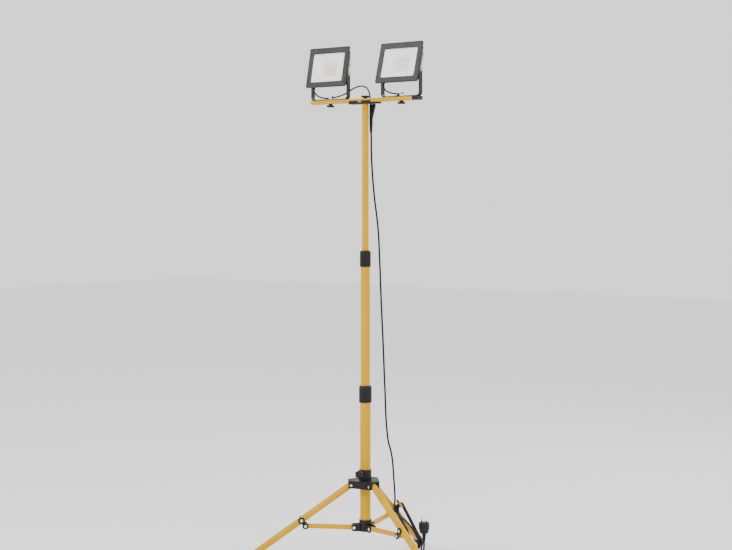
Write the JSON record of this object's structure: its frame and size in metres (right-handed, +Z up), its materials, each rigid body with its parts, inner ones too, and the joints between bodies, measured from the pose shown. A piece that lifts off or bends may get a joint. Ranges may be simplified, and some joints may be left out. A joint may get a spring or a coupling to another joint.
{
  "type": "work light",
  "caption": "Work light with LED floodlights on a crossbar, on a telescopic mast with a folding tripod and a hung mains cable.",
  "frame": {"origin": "on the mast axis at floor level", "axes": "+X along the crossbar to the user's right seen from the lit side, lamps face -Y, +Z up along the mast"},
  "size_m": [0.7926, 0.7606, 1.7483],
  "materials": {
    "yellow_paint": "glossy yellow powder coat",
    "black_plastic": "moulded, lightly textured",
    "cable_rubber": "smooth black rubber jacket",
    "plug_plastic": "moulded black",
    "foot_rubber": "matte",
    "black_paint": "fine-texture black coat",
    "bezel_paint": "fine-texture dark grey coat",
    "lamp_glass": "clear toughened glass",
    "white_reflector": "satin white",
    "led_cream": "cream phosphor tiles on a white board",
    "zinc_steel": "bright zinc",
    "brass_zinc": "yellow-passivated"
  },
  "bodies": {
    "lower_mast": {"lower_tube": "yellow_paint", "lower_hub": "black_plastic", "lower_hub_rivets": "zinc_steel", "lower_lock_collet": "black_plastic"},
    "lower_lock": {"lower_lock_ring": "black_plastic"},
    "middle_mast": {"middle_tube": "yellow_paint", "middle_guide": "black_plastic", "upper_lock_collet": "black_plastic"},
    "upper_lock": {"upper_lock_ring": "black_plastic"},
    "upper_mast": {"upper_tube": "yellow_paint", "upper_guide": "black_plastic", "mast_head": "black_plastic", "crossbar": "yellow_paint", "crossbar_caps": "black_plastic", "cable_joint": "cable_rubber", "left_lead": "cable_rubber", "right_lead": "cable_rubber"},
    "crossbar_knob": {"crossbar_knob": "black_plastic"},
    "hub": {"leg_hub": "black_plastic", "leg_hub_pins": "zinc_steel"},
    "hub_knob": {"hub_knob": "black_plastic"},
    "left_bracket": {"left_bracket": "black_paint", "left_bolt": "zinc_steel"},
    "left_lamp": {"left_housing": "black_paint", "left_bezel": "bezel_paint", "left_glass": "lamp_glass", "left_reflector": "white_reflector", "left_led_board": "led_cream", "left_gland": "black_plastic", "left_pivot_bolts": "brass_zinc"},
    "left_lamp_knob": {"left_lamp_knob": "black_plastic"},
    "right_bracket": {"right_bracket": "black_paint", "right_bolt": "zinc_steel"},
    "right_lamp": {"right_housing": "black_paint", "right_bezel": "bezel_paint", "right_glass": "lamp_glass", "right_reflector": "white_reflector", "right_led_board": "led_cream", "right_gland": "black_plastic", "right_pivot_bolts": "brass_zinc"},
    "right_lamp_knob": {"right_lamp_knob": "black_plastic"},
    "left_leg": {"left_leg": "yellow_paint", "left_foot": "foot_rubber", "left_clip": "black_plastic", "left_clip_rivets": "zinc_steel"},
    "left_brace": {"left_brace": "yellow_paint"},
    "front_leg": {"front_leg": "yellow_paint", "front_foot": "foot_rubber", "front_clip": "black_plastic", "front_clip_rivets": "zinc_steel"},
    "front_brace": {"front_brace": "yellow_paint"},
    "rear_leg": {"rear_leg": "yellow_paint", "rear_foot": "foot_rubber", "rear_clip": "black_plastic", "rear_clip_rivets": "zinc_steel", "cable_hook": "yellow_paint", "power_cord": "cable_rubber", "cord_hank": "cable_rubber", "plug": "plug_plastic"},
    "rear_brace": {"rear_brace": "yellow_paint"}
  },
  "joints": [
    {"name": "hub_slide", "type": "slide", "parent": "lower_mast", "child": "hub", "axis": [0, 0, 1], "range_m": [0, 0.221], "deforming": ["power_cord"]},
    {"name": "left_leg_fold", "type": "hinge", "parent": "hub", "child": "left_leg", "pos_m": [-0.03615, -0.03082, 0.29], "axis": [0.6488, -0.761, 0], "range_deg": [0, 52]},
    {"name": "front_leg_fold", "type": "hinge", "parent": "hub", "child": "front_leg", "pos_m": [0.04476, -0.01589, 0.29], "axis": [0.3346, 0.9423, 0], "range_deg": [0, 52]},
    {"name": "rear_leg_fold", "type": "hinge", "parent": "hub", "child": "rear_leg", "pos_m": [-0.00861, 0.04671, 0.29], "axis": [-0.9834, -0.1814, 0], "range_deg": [0, 52], "deforming": ["power_cord"]},
    {"name": "left_brace_fold", "type": "hinge", "parent": "left_leg", "child": "left_brace", "pos_m": [-0.1514, -0.12908, 0.15587], "axis": [0.6488, -0.761, 0], "range_deg": [-140.6, 0]},
    {"name": "front_brace_fold", "type": "hinge", "parent": "front_leg", "child": "front_brace", "pos_m": [0.18749, -0.06658, 0.15587], "axis": [0.3346, 0.9423, 0], "range_deg": [-140.6, 0]},
    {"name": "rear_brace_fold", "type": "hinge", "parent": "rear_leg", "child": "rear_brace", "pos_m": [-0.03609, 0.19566, 0.15587], "axis": [-0.9834, -0.1814, 0], "range_deg": [-140.6, 0]},
    {"name": "hub_knob_turn", "type": "hinge", "parent": "hub", "child": "hub_knob", "pos_m": [0.00907, -0.04917, 0.33], "axis": [0.1814, -0.9834, 0], "continuous": true},
    {"name": "lower_lock_turn", "type": "hinge", "parent": "lower_mast", "child": "lower_lock", "pos_m": [0, 0, 0.59], "axis": [0, 0, 1], "range_deg": [0, 180]},
    {"name": "middle_slide", "type": "slide", "parent": "lower_mast", "child": "middle_mast", "axis": [0, 0, 1], "range_m": [-0.33, 0], "deforming": ["power_cord"]},
    {"name": "upper_lock_turn", "type": "hinge", "parent": "middle_mast", "child": "upper_lock", "pos_m": [0, 0, 1.04], "axis": [0, 0, 1], "range_deg": [0, 180]},
    {"name": "upper_slide", "type": "slide", "parent": "middle_mast", "child": "upper_mast", "axis": [0, 0, 1], "range_m": [-0.4, 0], "deforming": ["power_cord"]},
    {"name": "crossbar_knob_turn", "type": "hinge", "parent": "upper_mast", "child": "crossbar_knob", "pos_m": [0, 0, 1.575], "axis": [0, 0, 1], "continuous": true},
    {"name": "left_swivel", "type": "hinge", "parent": "upper_mast", "child": "left_bracket", "pos_m": [-0.146, 0, 1.57], "axis": [0, 0, 1], "range_deg": [-90, 90], "deforming": ["left_lead"]},
    {"name": "left_tilt", "type": "hinge", "parent": "left_bracket", "child": "left_lamp", "pos_m": [-0.146, 0, 1.6562], "axis": [1, 0, 0], "range_deg": [-78.5, 16.4], "deforming": ["left_lead"]},
    {"name": "left_lamp_knob_turn", "type": "hinge", "parent": "left_bracket", "child": "left_lamp_knob", "pos_m": [-0.146, 0, 1.55], "axis": [0, 0, 1], "continuous": true},
    {"name": "right_swivel", "type": "hinge", "parent": "upper_mast", "child": "right_bracket", "pos_m": [0.146, 0, 1.57], "axis": [0, 0, 1], "range_deg": [-90, 90], "deforming": ["right_lead"]},
    {"name": "right_tilt", "type": "hinge", "parent": "right_bracket", "child": "right_lamp", "pos_m": [0.146, 0, 1.6562], "axis": [1, 0, 0], "range_deg": [-74.4, 20.6], "deforming": ["right_lead"]},
    {"name": "right_lamp_knob_turn", "type": "hinge", "parent": "right_bracket", "child": "right_lamp_knob", "pos_m": [0.146, 0, 1.55], "axis": [0, 0, 1], "continuous": true}
  ],
  "couplings": [
    {"joint": "left_leg_fold", "follows": "hub_slide", "rad_per_m": 4.1066},
    {"joint": "front_leg_fold", "follows": "hub_slide", "rad_per_m": 4.1066},
    {"joint": "rear_leg_fold", "follows": "hub_slide", "rad_per_m": 4.1066},
    {"joint": "left_brace_fold", "follows": "hub_slide", "rad_per_m": -11.104},
    {"joint": "front_brace_fold", "follows": "hub_slide", "rad_per_m": -11.104},
    {"joint": "rear_brace_fold", "follows": "hub_slide", "rad_per_m": -11.104}
  ]
}
